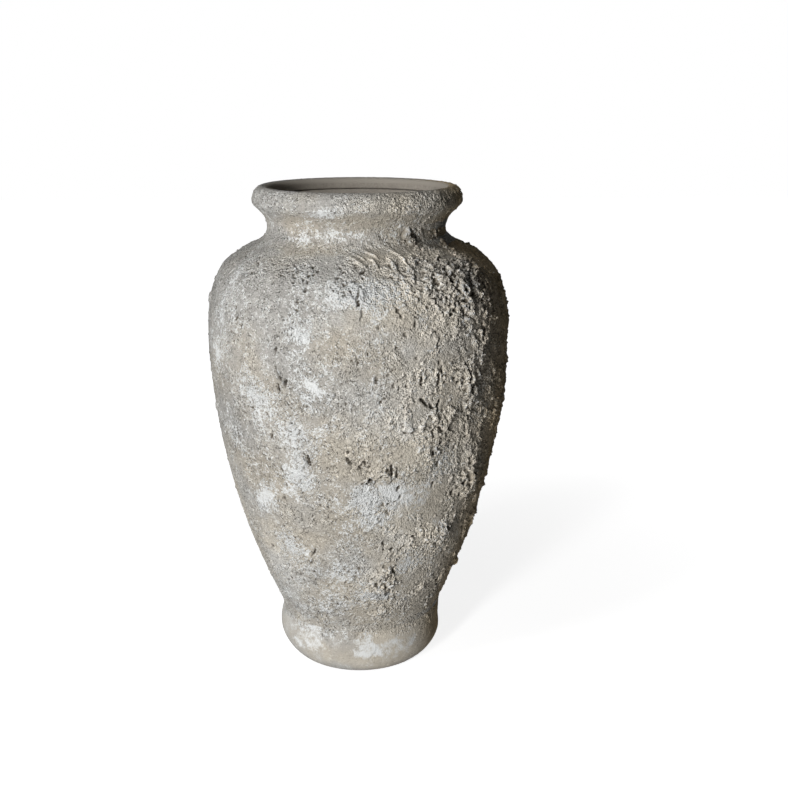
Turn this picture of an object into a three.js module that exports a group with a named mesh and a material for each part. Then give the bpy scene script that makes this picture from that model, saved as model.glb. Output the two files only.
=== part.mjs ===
// A shouldered ceramic vase with a rolled rim, a short neck and a rounded foot.
// It is built up in bevelled clay sections, luted together with slip, sealed inside with a smooth slip
// and coated outside with a rough mineral crust.
// Millimetres, +Z up, origin at the centre of the resting face.

import * as THREE from "three";

// Radii of the finished outside, crust included
const FOOT_REST_RADIUS = 53.5; // outer edge of the flat ring that the vase stands on
const FOOT_BULGE_RADIUS = 69.2; // the foot at its widest
const WAIST_RADIUS = 68.0; // the hollow between foot and body
const BELLY_RADIUS = 121.8; // the body at its widest
const NECK_RADIUS = 71.2; // the neck at its narrowest
const RIM_RADIUS = 83.4; // the rolled rim at its widest
const CREST_RADIUS = 75.0; // the top of the roll
const MOUTH_RADIUS = 70.0; // the inner edge of the lip

// Rises between those levels, each from the one below it
const FOOT_BULGE_RISE = 20.5;
const WAIST_RISE = 24.5;
const BELLY_RISE = 240.5;
const NECK_RISE = 82.3;
const RIM_RISE = 20.3;
const CREST_RISE = 11.9;
const LIP_DROP = 4.5; // from the crest down to the inner edge of the lip

// Reaches of the curves: how far each leaves a level before it turns to the next one
const FOOT_EDGE_REACH = 6.5;
const FOOT_SIDE_REACH = 8.0;
const WAIST_REACH = 6.0;
const FLARE_REACH = 7.0;
const BELLY_LOWER_REACH = 136.0;
const SHOULDER_REACH = 79.0;
const NECK_BASE_REACH = 20.5;
const NECK_TOP_REACH = 11.5;
const RIM_UNDER_REACH = 4.5;
const ROUND_REACH = 0.5523; // share of a quarter round that makes it an ellipse

// Layers through the wall
const CRUST = 2.4; // on the whole: it varies by its patches
const WALL = 8.0;
const SLIP = 1.0;
const GAP = 0.3; // clearance between pieces that touch

// Luted joints
const LUTE = 1.6; // slip between two sections, along the wall
const BEVEL = 3.2; // rise of a joint from the outside of the wall to the inside
const SEAM_RAKE = 2.6; // how far the slip under the rim lies back from the inside
const FOOT_JOINT_BELOW_WAIST = 9.0;
const MIDDLE_JOINT_BELOW_BELLY = 148.0;
const BELLY_JOINT_BELOW_BELLY = 60.0;
const SHOULDER_JOINT_ABOVE_BELLY = 16.0;
const NECK_JOINT_BELOW_NECK = 30.0;
const RIM_JOINT_BELOW_RIM = 8.1;

// Base slab in the foot ring
const FOOT_BORE_RADIUS = 45.0;
const LEDGE_WIDTH = 7.0; // the ring's ledge that carries the slab
const RECESS = 3.6; // from the resting face up to that ledge
const SLAB_THICKNESS = 10.0;
const CRUST_START = 3.4; // along the outline, from the resting edge to where the crust begins

// Where the crust lies thick or is worn thin. Each patch has its turn from the front in degrees, its place
// as a share of the outline's length, its half width, its half height and its rise above the outside.
const PATCHES = [
  // thick on the right of the shoulder, and dragged down from the neck
  [40, 0.785, 34, 24, 3.0],
  [46, 0.727, 26, 16, 2.0],
  [12, 0.84, 22, 13, 1.4],
  [0, 0.766, 24, 12, 1.4],
  // ridges and clods down the right of the body
  [48, 0.669, 12, 16, 1.4],
  [42, 0.614, 12, 18, 1.9],
  [26, 0.592, 30, 28, 1.1],
  [66, 0.563, 16, 40, 1.3],
  [24, 0.52, 16, 22, 1.7],
  [50, 0.431, 16, 26, 2.6],
  [40, 0.336, 14, 12, 2.2],
  [64, 0.315, 12, 30, 1.1],
  // clods on the front
  [-5, 0.534, 18, 14, 0.8],
  [9, 0.465, 14, 9, 1.6],
  [-22, 0.274, 12, 11, 1.3],
  [12, 0.248, 18, 24, 3.0],
  [12, 0.16, 12, 9, 1.8],
  // thick places on the back
  [-150, 0.777, 34, 18, 2.3],
  [140, 0.695, 40, 40, 2.5],
  [100, 0.54, 26, 34, 2.3],
  [-130, 0.474, 34, 40, 2.3],
  [170, 0.315, 30, 26, 2.6],
  [-95, 0.292, 22, 26, 1.7],
  // worn places
  [3, 0.738, 24, 9, -0.7],
  [-8, 0.695, 18, 12, -0.6],
  [-110, 0.695, 26, 18, -0.8],
  [34, 0.605, 10, 12, -1.1],
  [-165, 0.607, 26, 24, -1.0],
  [16, 0.5, 12, 10, -1.2],
  [-39, 0.453, 14, 20, -0.8],
  [120, 0.429, 20, 30, -1.0],
  [32, 0.397, 12, 12, -1.1],
  [-6, 0.359, 14, 12, -0.7],
  [-19, 0.327, 18, 10, -0.9],
  [22, 0.264, 12, 10, -0.9],
  [-14, 0.236, 11, 9, -0.9],
  [-3, 0.16, 12, 9, -0.9],
  [150, 0.15, 30, 12, -0.9],
  [12, 0.118, 24, 8, -0.6],
  // full on the left of the shoulder; the neck and the foot stand a little over to the left as well,
  // with a deeper hollow above the foot
  [-90, 0.797, 40, 11, 1.4],
  [-90, 0.89, 60, 10, 0.9],
  [90, 0.89, 60, 10, -0.9],
  [-90, 0.106, 60, 6, -1.3],
  [90, 0.106, 60, 6, 0.5],
  [-90, 0.075, 70, 10, 1.2],
  [90, 0.075, 70, 10, -0.9],
];
const PATCH_FADE = 14.0; // along the outline, from the ends of the crust to its full unevenness

// Faceting
const TURNS = 32; // flats round the vase
const WALL_STEP = 36.0; // longest facet along a plain wall
const SHOULDER_STEP = 16.0; // longest facet over the shoulder
const ROLL_STEP = 9.0; // longest facet along the rounds of foot, hollow and neck
const LIP_STEP = 4.5; // longest facet over the rolled rim
const CRUST_STEP = 13.0; // longest facet along the crust of the body
const HOLLOW_RISE = 26.0; // from the waist up to where the wall of the hollow runs straight
const CRUST_SPLIT = 3; // facets of the crust on each flat

// Levels of the outside
const rest = new THREE.Vector2(FOOT_REST_RADIUS, 0);
const bulge = new THREE.Vector2(FOOT_BULGE_RADIUS, FOOT_BULGE_RISE);
const waist = new THREE.Vector2(WAIST_RADIUS, bulge.y + WAIST_RISE);
const belly = new THREE.Vector2(BELLY_RADIUS, waist.y + BELLY_RISE);
const neck = new THREE.Vector2(NECK_RADIUS, belly.y + NECK_RISE);
const rim = new THREE.Vector2(RIM_RADIUS, neck.y + RIM_RISE);
const crest = new THREE.Vector2(CREST_RADIUS, rim.y + CREST_RISE);
const lip = new THREE.Vector2(MOUTH_RADIUS, crest.y - LIP_DROP);

// A curve that leaves one level and reaches the next, with its two handles as offsets from them
function curve(from, leave, to, arrive) {
  const handleOut = new THREE.Vector2(from.x + leave[0], from.y + leave[1]);
  const handleIn = new THREE.Vector2(to.x + arrive[0], to.y + arrive[1]);
  return new THREE.CubicBezierCurve(from, handleOut, handleIn, to);
}

// The finished outside, from the resting edge of the foot over the rim to the inside of the lip
const outline = new THREE.CurvePath();
outline.add(curve(rest, [FOOT_EDGE_REACH, 0], bulge, [0, -FOOT_SIDE_REACH]));
outline.add(curve(bulge, [0, WAIST_REACH], waist, [0, -WAIST_REACH]));
outline.add(curve(waist, [0, FLARE_REACH], belly, [0, -BELLY_LOWER_REACH]));
outline.add(curve(belly, [0, SHOULDER_REACH], neck, [0, -NECK_BASE_REACH]));
outline.add(curve(neck, [0, NECK_TOP_REACH], rim, [0, -RIM_UNDER_REACH]));
const overRim = [ROUND_REACH * (rim.x - crest.x), 0];
outline.add(curve(rim, [0, ROUND_REACH * CREST_RISE], crest, overRim));
const intoMouth = [-ROUND_REACH * (crest.x - lip.x), 0];
outline.add(curve(crest, intoMouth, lip, [0, ROUND_REACH * LIP_DROP]));
const outlineLength = outline.getLength();

// Depths below the finished outside
const clayOutside = CRUST + GAP;
const clayInside = clayOutside + WALL;
const slipOutside = clayInside + GAP;
const slipInside = slipOutside + SLIP;

// A point of the wall, by its length along the outline and its depth below the finished outside
function wallPoint(along, depth) {
  const share = THREE.MathUtils.clamp(along / outlineLength, 0, 1);
  const point = outline.getPoint(share);
  const tangent = outline.getTangent(share);
  return new THREE.Vector2(point.x - depth * tangent.y, point.y + depth * tangent.x);
}

// The length along the outline at which the wall, at a depth, first reaches a height
function lengthAtHeight(height, depth = 0) {
  let low = 0;
  let high = lengthToCrest;
  for (let i = 0; i < 40; i += 1) {
    const middle = (low + high) / 2;
    if (wallPoint(middle, depth).y < height) low = middle;
    else high = middle;
  }
  return (low + high) / 2;
}

// Lengths along the outline, spread evenly from one to another
function spread(from, to, step) {
  const count = Math.max(1, Math.ceil((to - from) / step));
  return Array.from({ length: count + 1 }, (_, i) => from + ((to - from) * i) / count);
}

// The wall at those lengths, at one depth
function strip(stations, depth) {
  return stations.map((along) => wallPoint(along, depth));
}

const lengths = outline.getCurveLengths();
const lengthToCrest = lengths[lengths.length - 2];
const joints = {
  foot: lengthAtHeight(waist.y - FOOT_JOINT_BELOW_WAIST),
  middle: lengthAtHeight(belly.y - MIDDLE_JOINT_BELOW_BELLY),
  belly: lengthAtHeight(belly.y - BELLY_JOINT_BELOW_BELLY),
  shoulder: lengthAtHeight(belly.y + SHOULDER_JOINT_ABOVE_BELLY),
  neck: lengthAtHeight(neck.y - NECK_JOINT_BELOW_NECK),
  rim: lengthAtHeight(rim.y - RIM_JOINT_BELOW_RIM),
};
const seat = LUTE / 2 + GAP; // from the middle of a joint to the section beside it

// Heights inside the foot
const slabRadius = FOOT_BORE_RADIUS + LEDGE_WIDTH;
const slabBottom = RECESS + LUTE + 2 * GAP;
const slabTop = slabBottom + SLAB_THICKNESS;
const floorTop = slabTop + GAP + SLIP;

// The stations of a section between two joints: on the face of its crust, and on the outside and inside of
// its clay, which the layers that lie on it share
function section(from, to, step) {
  return {
    face: spread(from + GAP / 2, to - GAP / 2, Math.min(step, CRUST_STEP)),
    outside: spread(from + seat, to - seat, step),
    inside: spread(from + BEVEL + seat, to + BEVEL - seat, step),
  };
}

// The stations of the lower wall, closer together over the hollow above the foot
function hollowStations(from, to, step) {
  const hollowTop = lengthAtHeight(waist.y + HOLLOW_RISE);
  return [...spread(from, hollowTop, ROLL_STEP), ...spread(hollowTop, to, step).slice(1)];
}

const foot = {
  face: spread(CRUST_START + GAP / 2, joints.foot - GAP / 2, ROLL_STEP),
  outside: spread(CRUST_START + GAP, joints.foot - seat, ROLL_STEP),
  inside: spread(lengthAtHeight(slabTop, clayInside), joints.foot + BEVEL - seat, ROLL_STEP),
};
const lower = {
  face: hollowStations(joints.foot + GAP / 2, joints.middle - GAP / 2, CRUST_STEP),
  outside: hollowStations(joints.foot + seat, joints.middle - seat, WALL_STEP),
  inside: hollowStations(joints.foot + BEVEL + seat, joints.middle + BEVEL - seat, WALL_STEP),
};
const middle = section(joints.middle, joints.belly, WALL_STEP);
const widest = section(joints.belly, joints.shoulder, WALL_STEP);
const shoulder = section(joints.shoulder, joints.neck, SHOULDER_STEP);
const collar = section(joints.neck, joints.rim, ROLL_STEP);
const roll = {
  face: [...spread(joints.rim + GAP / 2, lengthToCrest, LIP_STEP), outlineLength - GAP / 2],
  outside: spread(joints.rim + seat, lengthToCrest, LIP_STEP),
};

// Fired clay, bare; dried slip; the smooth inner slip; the rough outer crust
const clay = new THREE.MeshStandardMaterial({ color: 0x9b8a77, roughness: 0.9, metalness: 0 });
const driedSlip = new THREE.MeshStandardMaterial({ color: 0x877a6a, roughness: 0.95, metalness: 0 });
const innerCoat = new THREE.MeshStandardMaterial({ color: 0x9a9184, roughness: 0.8, metalness: 0 });
const outerCoat = new THREE.MeshStandardMaterial({ color: 0xb3aea4, roughness: 0.97, metalness: 0 });

const vase = new THREE.Group();
vase.name = "vase";
const turned = new THREE.Group(); // profiles are turned about Y, and stand up along Z
turned.rotation.x = Math.PI / 2;
vase.add(turned);

function addMesh(name, geometry, material) {
  const mesh = new THREE.Mesh(geometry, material.clone());
  mesh.name = name;
  turned.add(mesh);
}

// One piece turned from a closed profile, or from one that starts and ends on the axis
function addTurned(name, profile, material) {
  const onAxis = profile[0].x === 0;
  const points = onAxis ? profile : [...profile, profile[0].clone()];
  addMesh(name, new THREE.LatheGeometry(points, TURNS), material);
}

// A wall section between two joints, with bevelled ends that leave room for the slip
function addSection(name, { outside, inside }) {
  addTurned(name, [...strip(outside, clayOutside), ...strip(inside, clayInside).reverse()], clay);
}

// The slip ring in a joint, laid back from the inside by the rake
function addLute(name, joint, rake = 0) {
  const face = (along) => {
    const outer = wallPoint(along, clayOutside);
    const inner = wallPoint(along + BEVEL, clayInside);
    return [outer, outer.clone().lerp(inner, 1 - rake / WALL)];
  };
  const [lowOuter, lowInner] = face(joint - LUTE / 2);
  const [highOuter, highInner] = face(joint + LUTE / 2);
  addTurned(name, [lowInner, lowOuter, highOuter, highInner], driedSlip);
}

// How far the crust stands above the finished outside, at a turn from the front and a length along it
function crustRise(turn, along) {
  const radius = wallPoint(along, 0).x;
  let rise = 0;
  for (const [patchTurn, share, halfWidth, halfHeight, patchRise] of PATCHES) {
    const apart = THREE.MathUtils.euclideanModulo(turn - patchTurn + 180, 360) - 180;
    const across = (THREE.MathUtils.degToRad(apart) * radius) / halfWidth;
    const up = (along - share * outlineLength) / halfHeight;
    rise += patchRise * Math.exp(-across * across - up * up);
  }
  const fadeIn = THREE.MathUtils.smoothstep(along, CRUST_START, CRUST_START + PATCH_FADE);
  const fadeOut = THREE.MathUtils.smoothstep(along, lengthToCrest - PATCH_FADE, lengthToCrest);
  return rise * fadeIn * (1 - fadeOut);
}

// A ring of points round the vase, at a depth that may change with the turn from the front
function ring(along, flats, depthAt) {
  return Array.from({ length: flats }, (_, i) => {
    const turn = (i * 360) / flats;
    const { x, y } = wallPoint(along, depthAt(turn));
    const angle = THREE.MathUtils.degToRad(turn);
    return [x * Math.sin(angle), y, x * Math.cos(angle)];
  });
}

// A closed skin over rings of points: each ring is joined to the next one, and the last to the first.
// Neighbours may differ in their number of points, where one number divides the other.
function ringGeometry(rings) {
  const starts = [];
  let count = 0;
  for (const points of rings) {
    starts.push(count);
    count += points.length;
  }
  const index = [];
  rings.forEach((points, row) => {
    const next = (row + 1) % rings.length;
    const steps = Math.max(points.length, rings[next].length);
    const pick = (which, step) => {
      const { length } = rings[which];
      return starts[which] + (Math.floor((step * length) / steps) % length);
    };
    for (let step = 0; step < steps; step += 1) {
      const a = pick(row, step);
      const b = pick(row, step + 1);
      const c = pick(next, step + 1);
      const d = pick(next, step);
      if (a !== b) index.push(a, b, c);
      if (c !== d) index.push(a, c, d);
    }
  });
  const geometry = new THREE.BufferGeometry();
  geometry.setAttribute("position", new THREE.Float32BufferAttribute(rings.flat(2), 3));
  geometry.setIndex(index);
  geometry.computeVertexNormals();
  return geometry;
}

// The band of crust over one section: uneven outside, and even where it lies on the clay
function addCrust(name, { face, outside }) {
  const back = [face[0], ...outside, face.at(-1)].reverse();
  const rings = [
    ...face.map((along) => ring(along, TURNS * CRUST_SPLIT, (turn) => -crustRise(turn, along))),
    ...back.map((along) => ring(along, TURNS, () => CRUST)),
  ];
  addMesh(name, ringGeometry(rings), outerCoat);
}

function addFootRing() {
  const edge = [new THREE.Vector2(FOOT_BORE_RADIUS, 0), rest.clone()];
  const outside = strip(foot.outside, clayOutside);
  const inside = strip(foot.inside, clayInside).reverse();
  const rebate = [
    new THREE.Vector2(slabRadius + GAP, slabTop),
    new THREE.Vector2(slabRadius + GAP, RECESS),
    new THREE.Vector2(FOOT_BORE_RADIUS, RECESS),
  ];
  addTurned("foot_ring", [...edge, ...outside, ...inside, ...rebate], clay);
}

function addBaseSlab() {
  const slab = [
    new THREE.Vector2(0, slabBottom),
    new THREE.Vector2(slabRadius, slabBottom),
    new THREE.Vector2(slabRadius, slabTop),
    new THREE.Vector2(0, slabTop),
  ];
  addTurned("base_slab", slab, clay);
  const bed = [
    new THREE.Vector2(FOOT_BORE_RADIUS, RECESS + GAP),
    new THREE.Vector2(slabRadius, RECESS + GAP),
    new THREE.Vector2(slabRadius, RECESS + GAP + LUTE),
    new THREE.Vector2(FOOT_BORE_RADIUS, RECESS + GAP + LUTE),
  ];
  addTurned("base_lute", bed, driedSlip);
}

// The rolled rim: its inner face runs straight from the lip down to the seam, flush with the inner slip
function addRimRoll() {
  const ledge = lip.y - GAP;
  const outside = strip(roll.outside, clayOutside);
  const underCrust = new THREE.Vector2(lip.x + clayOutside, ledge);
  const edge = new THREE.Vector2(lip.x, ledge);
  const seamTop = wallPoint(joints.rim + BEVEL + seat, clayInside);
  const slipEnd = wallPoint(joints.rim + BEVEL - seat, slipInside);
  const seamEdge = new THREE.Vector2(slipEnd.x, seamTop.y + GAP);
  addTurned("rim_roll", [...outside, underCrust, edge, seamEdge, seamTop], clay);
}

// The sealing slip: a skin over the walls and floor of the inside, up to the seam under the rim
function addInnerSlip() {
  const walls = [foot, lower, middle, widest, shoulder, collar].flatMap(({ inside }) => inside);
  const layer = (depth, floor) => {
    const start = lengthAtHeight(floor, depth);
    const wall = strip([start, ...walls.filter((along) => along > start)], depth);
    return [new THREE.Vector2(0, floor), ...wall];
  };
  const backing = layer(slipOutside, slabTop + GAP);
  const face = layer(slipInside, floorTop).reverse();
  addTurned("inner_slip", [...backing, ...face], innerCoat);
}

addFootRing();
addBaseSlab();
addLute("foot_lute", joints.foot);
addSection("lower_wall", lower);
addLute("middle_lute", joints.middle);
addSection("middle_wall", middle);
addLute("belly_lute", joints.belly);
addSection("belly_wall", widest);
addLute("shoulder_lute", joints.shoulder);
addSection("shoulder_wall", shoulder);
addLute("neck_lute", joints.neck);
addSection("neck_collar", collar);
addLute("rim_lute", joints.rim, SEAM_RAKE);
addRimRoll();
addInnerSlip();
addCrust("foot_crust", foot);
addCrust("lower_crust", lower);
addCrust("middle_crust", middle);
addCrust("belly_crust", widest);
addCrust("shoulder_crust", shoulder);
addCrust("neck_crust", collar);
addCrust("rim_crust", roll);

export default vase;
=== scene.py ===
"""A shouldered ceramic vase with a rough mineral crust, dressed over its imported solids. Metres, +Z up."""
import itertools
import math

import bpy
import numpy as np
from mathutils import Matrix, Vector


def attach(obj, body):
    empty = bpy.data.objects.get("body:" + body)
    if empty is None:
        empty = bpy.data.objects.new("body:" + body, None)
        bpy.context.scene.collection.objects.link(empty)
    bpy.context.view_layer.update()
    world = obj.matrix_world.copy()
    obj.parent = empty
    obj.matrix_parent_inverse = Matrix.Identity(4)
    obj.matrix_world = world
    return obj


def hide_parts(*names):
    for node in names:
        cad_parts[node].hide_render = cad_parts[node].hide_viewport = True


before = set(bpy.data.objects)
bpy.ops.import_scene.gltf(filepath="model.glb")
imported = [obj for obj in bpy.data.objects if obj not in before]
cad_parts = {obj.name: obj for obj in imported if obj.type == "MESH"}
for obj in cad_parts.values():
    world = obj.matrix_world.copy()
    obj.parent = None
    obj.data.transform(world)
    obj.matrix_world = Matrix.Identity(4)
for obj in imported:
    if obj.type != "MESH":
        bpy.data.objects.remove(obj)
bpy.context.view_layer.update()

MM = 0.001  # shapes are in millimetres until they become meshes
TURN = 2 * math.pi

# The finished outside, as radius and height: cubic curves from the resting edge of the foot, up the wall and
# over the rim to the inside of the lip
ROUND = 0.5523  # a handle in a quarter round, as a share of its radius
REST, BULGE, WAIST = (53.5, 0.0), (69.2, 20.5), (68.0, 45.0)
BELLY, NECK, RIM = (121.8, 285.5), (71.2, 367.8), (83.4, 388.1)
CREST, LIP = (75.0, 400.0), (70.0, 395.5)
RIM_REACH, RIM_RISE = 8.4, 11.9  # the outer quarter round of the rim
LIP_REACH, LIP_DROP = 5.0, 4.5  # the inner one
OUTLINE = (
    (REST, (60.0, 0.0), (69.2, 12.5), BULGE),
    (BULGE, (69.2, 26.5), (68.0, 39.0), WAIST),
    (WAIST, (68.0, 52.0), (121.8, 149.5), BELLY),
    (BELLY, (121.8, 364.5), (71.2, 347.3), NECK),
    (NECK, (71.2, 379.3), (83.4, 383.6), RIM),
    (RIM, (RIM[0], RIM[1] + ROUND * RIM_RISE), (CREST[0] + ROUND * RIM_REACH, CREST[1]), CREST),
    (CREST, (CREST[0] - ROUND * LIP_REACH, CREST[1]), (LIP[0], LIP[1] + ROUND * LIP_DROP), LIP),
)
CRUST_START = 3.4  # along the outline, where the crust begins above the resting edge
CRUST, WALL, SLIP, GAP = 2.4, 8.0, 1.0, 0.3  # layers through the wall
JOINT_HEIGHTS = (36.0, 137.5, 225.5, 301.5, 337.8, 380.0)  # where one section ends and the next begins
# Bands of the crust from the foot up, with the most between their rows of points
BANDS = {
    "foot": 0.6, "lower": 0.99, "middle": 0.86, "belly": 0.74, "shoulder": 0.62, "neck": 0.62, "rim": 0.5,
}
COLUMNS = 840  # points round the crust
CURVE_POINTS = 240  # on each curve of the outline
SAME_PLACE = 1e-6
SLOPE_REACH = 0.4  # along the outline, to both sides of a place, for its slope


def curve_points(curves):
    """Points along a chain of cubic curves."""
    t = np.linspace(0, 1, CURVE_POINTS)[:, None]
    parts = []
    for curve in curves:
        a, b, c, d = (np.array(p, float) for p in curve)
        parts.append((1 - t) ** 3 * a + 3 * (1 - t) ** 2 * t * b + 3 * (1 - t) * t * t * c + t ** 3 * d)
    points = np.vstack(parts)
    fresh = np.r_[True, np.linalg.norm(np.diff(points, axis=0), axis=1) > SAME_PLACE]
    return points[fresh]


line = curve_points(OUTLINE)
line_length = np.r_[0, np.cumsum(np.linalg.norm(np.diff(line, axis=0), axis=1))]
crest_at = int(np.argmax(line[:, 1]))
crest_length = line_length[crest_at]


def length_at(height):
    """The length along the outline at a height on its outside."""
    return float(np.interp(height, line[:crest_at + 1, 1], line_length[:crest_at + 1]))


def at_share(part):
    """The length along the outline at a share of the whole."""
    return part * line_length[-1]


def wall(lengths, depth=0.0):
    """Points of the wall at lengths along the outline, at a depth below the finished outside."""
    lengths = np.asarray(lengths, float)

    def at(s):
        s = np.clip(s, 0, line_length[-1])
        return np.stack([np.interp(s, line_length, line[:, k]) for k in (0, 1)], -1)

    along = at(lengths + SLOPE_REACH) - at(lengths - SLOPE_REACH)
    along /= np.linalg.norm(along, axis=-1, keepdims=True)
    return at(lengths) + depth * np.stack([-along[..., 1], along[..., 0]], -1)


def spin(points, angles):
    """Points of a half section turned round the axis: rows by columns by three. Angle 0 faces the camera."""
    r, z = points[:, :1], points[:, 1:]
    z = np.broadcast_to(z, (len(points), len(angles)))
    return np.stack([r * np.sin(angles), -r * np.cos(angles), z], -1)


# Repeatable noise

WORD = 0xFFFFFFFF
SEED_FACTOR = 0x9E3779B1
CELL_FACTORS = (0x8DA6B343, 0xD8163841, 0xCB1AB31F)
MIX_STEPS = ((16, 0x7FEB352D), (15, 0x846CA68B))
LAST_SHIFT = 16
SHARE_BITS = 10
SHARE_MOST = 2 ** SHARE_BITS - 1
NOISE_GAIN, LAYER_GAIN = 1.3, 1.6  # bring the noises to about -1 to 1
FARTHEST = 9  # beyond any seed


def scramble(cells, seed):
    """A repeatable 32-bit number for each cell of a lattice."""
    h = np.uint32(seed * SEED_FACTOR & WORD)
    for k, factor in enumerate(CELL_FACTORS):
        h = h ^ (cells[:, k] * np.uint32(factor))
    for shift, factor in MIX_STEPS:
        h = (h ^ (h >> np.uint32(shift))) * np.uint32(factor)
    return h ^ (h >> np.uint32(LAST_SHIFT))


def share(numbers, part):
    """One of three fields of a scrambled number, from 0 to 1."""
    field = (numbers >> np.uint32(SHARE_BITS * part)) & np.uint32(SHARE_MOST)
    return field.astype(np.float32) / SHARE_MOST


def lattice(points, size):
    """Each point's cell in a lattice, and its place in the cell."""
    q = (points / size).astype(np.float32)
    cell = np.floor(q)
    return cell.astype(np.int32).astype(np.uint32), q - cell


def noise(points, size, seed):
    """Smooth noise with features of a size in millimetres, from about -1 to 1."""
    cell, f = lattice(points, size)
    fade = f * f * f * (f * (f * 6 - 15) + 10)
    total = np.zeros(len(f), np.float32)
    for corner in itertools.product((0, 1), repeat=3):
        h = scramble(cell + np.array(corner, np.uint32), seed)
        weight, slope = 1, 0
        for k, side in enumerate(corner):
            weight = weight * (fade[:, k] if side else 1 - fade[:, k])
            slope = slope + (share(h, k) * 2 - 1) * (f[:, k] - side)
        total += weight * slope
    return total * NOISE_GAIN


def layered(points, size, seed, octaves, keep=0.5):
    """Noise with finer and finer layers, each keeping a share of the one before."""
    total, weight = 0, 0
    for k in range(octaves):
        total = total + noise(points, size / 2 ** k, seed + k) * keep ** k
        weight += keep ** k
    return total / weight * LAYER_GAIN


def scatter(points, size, seed):
    """How far the nearest of many scattered seeds is, in cells, and that seed's number."""
    cell, f = lattice(points, size)
    nearest = np.full(len(f), FARTHEST, np.float32)
    owner = np.zeros(len(f), np.uint32)
    for step in itertools.product((-1, 0, 1), repeat=3):
        h = scramble(cell + np.array(step).astype(np.uint32), seed)
        away = sum((share(h, k) + step[k] - f[:, k]) ** 2 for k in range(3))
        closer = away < nearest
        nearest = np.where(closer, away, nearest)
        owner = np.where(closer, h, owner)
    return np.sqrt(nearest), scramble(np.stack([owner] * 3, -1), seed + 1)


def ease(low, high, value):
    """A smooth step from 0 at low to 1 at high; low may be the greater."""
    t = np.clip((value - low) / (high - low), 0, 1)
    return t * t * (3 - 2 * t)


def terraces(field, *edges):
    """A field cut into flat steps. An edge is where it begins, where it ends and how far it rises."""
    return sum(rise * ease(low, high, field) for low, high, rise in edges)


# The grid of the crust: rows along the outline, columns round the vase, azimuth 0 facing the camera
ends = [CRUST_START, *(length_at(z) for z in JOINT_HEIGHTS), float(line_length[-1])]
row_lengths, band_rows = [ends[0]], [0]
for low, high, step in zip(ends, ends[1:], BANDS.values()):
    count = math.ceil((high - low) / step)
    row_lengths += [low + (high - low) * (i + 1) / count for i in range(count)]
    band_rows.append(len(row_lengths) - 1)
row_lengths = np.array(row_lengths)
row_points = wall(row_lengths)
azimuth = (np.arange(COLUMNS) / COLUMNS * 360 + 180) % 360 - 180
crust_angles = np.radians(azimuth)

shape = (len(row_lengths), COLUMNS)
base = spin(row_points, crust_angles)
outward = base - spin(wall(row_lengths, 1.0), crust_angles)

# The same grid as one long list of points
P = base.reshape(-1, 3).astype(np.float32)
AZ = np.broadcast_to(azimuth, shape).reshape(-1)
LENGTH = np.broadcast_to(row_lengths[:, None], shape).reshape(-1)
HEIGHT = P[:, 2]
RADIUS = np.hypot(P[:, 0], P[:, 1])
SOFT_PACE = 0.2  # of the finest gap squared, so that the blur stays steady


def soften(grid, reach):
    """A grid blurred over a reach in millimetres, round the vase and along the wall."""
    row_gap = np.gradient(row_lengths)[:, None]
    column_gap = TURN * row_points[:, :1] / COLUMNS
    pace = SOFT_PACE * min(row_gap.min(), column_gap.min()) ** 2
    for _ in range(round(reach ** 2 / (2 * pace))):
        padded = np.pad(grid, ((1, 1), (0, 0)), mode="edge")
        along = padded[:-2] + padded[2:] - 2 * grid
        around = np.roll(grid, 1, 1) + np.roll(grid, -1, 1) - 2 * grid
        grid = grid + pace * (along / row_gap ** 2 + around / column_gap ** 2)
    return grid


def wander(size, seed):
    """Three noises that push places about."""
    return np.stack([noise(P, size, seed + k) for k in range(3)], -1)


warp = wander(size=13, seed=3)
small_warp = wander(size=4.5, seed=6)
bent = P + 4.0 * warp + 1.2 * small_warp
SPOT_WANDER, SPOT_FRAY = 5.0, 1.6  # how far the edge of a spot strays, broadly and finely
SPOT_FALL = 1.1


def across_from(az):
    """Millimetres round the wall from an azimuth, to the right."""
    return np.radians((AZ - az + 180) % 360 - 180) * RADIUS


def spots(places, along=length_at):
    """How strongly a list of spots covers each place. A spot is its azimuth, height, half width, half height
    and strength; its edge wanders."""
    total = np.zeros(len(P), np.float32)
    for az, height, wide, tall, strength in places:
        across = across_from(az) + SPOT_WANDER * warp[:, 0] + SPOT_FRAY * small_warp[:, 0]
        up = LENGTH - along(height) + SPOT_WANDER * warp[:, 2] + SPOT_FRAY * small_warp[:, 2]
        total += strength * np.exp(-SPOT_FALL * ((across / wide) ** 2 + (up / tall) ** 2))
    return total


def local(az, height, lean):
    """Millimetres across and along a mark that leans to the right of upright by some degrees."""
    x, y = across_from(az), LENGTH - length_at(height)
    c, s = math.cos(math.radians(lean)), math.sin(math.radians(lean))
    return x * c - y * s, x * s + y * c


def hills(patches):
    """The smooth rises and hollows of a list of patches."""
    total = np.zeros(len(P), np.float32)
    for az, part, wide, tall, rise in patches:
        up = (LENGTH - at_share(part)) / tall
        total += rise * np.exp(-(across_from(az) / wide) ** 2 - up ** 2)
    return total


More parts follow.
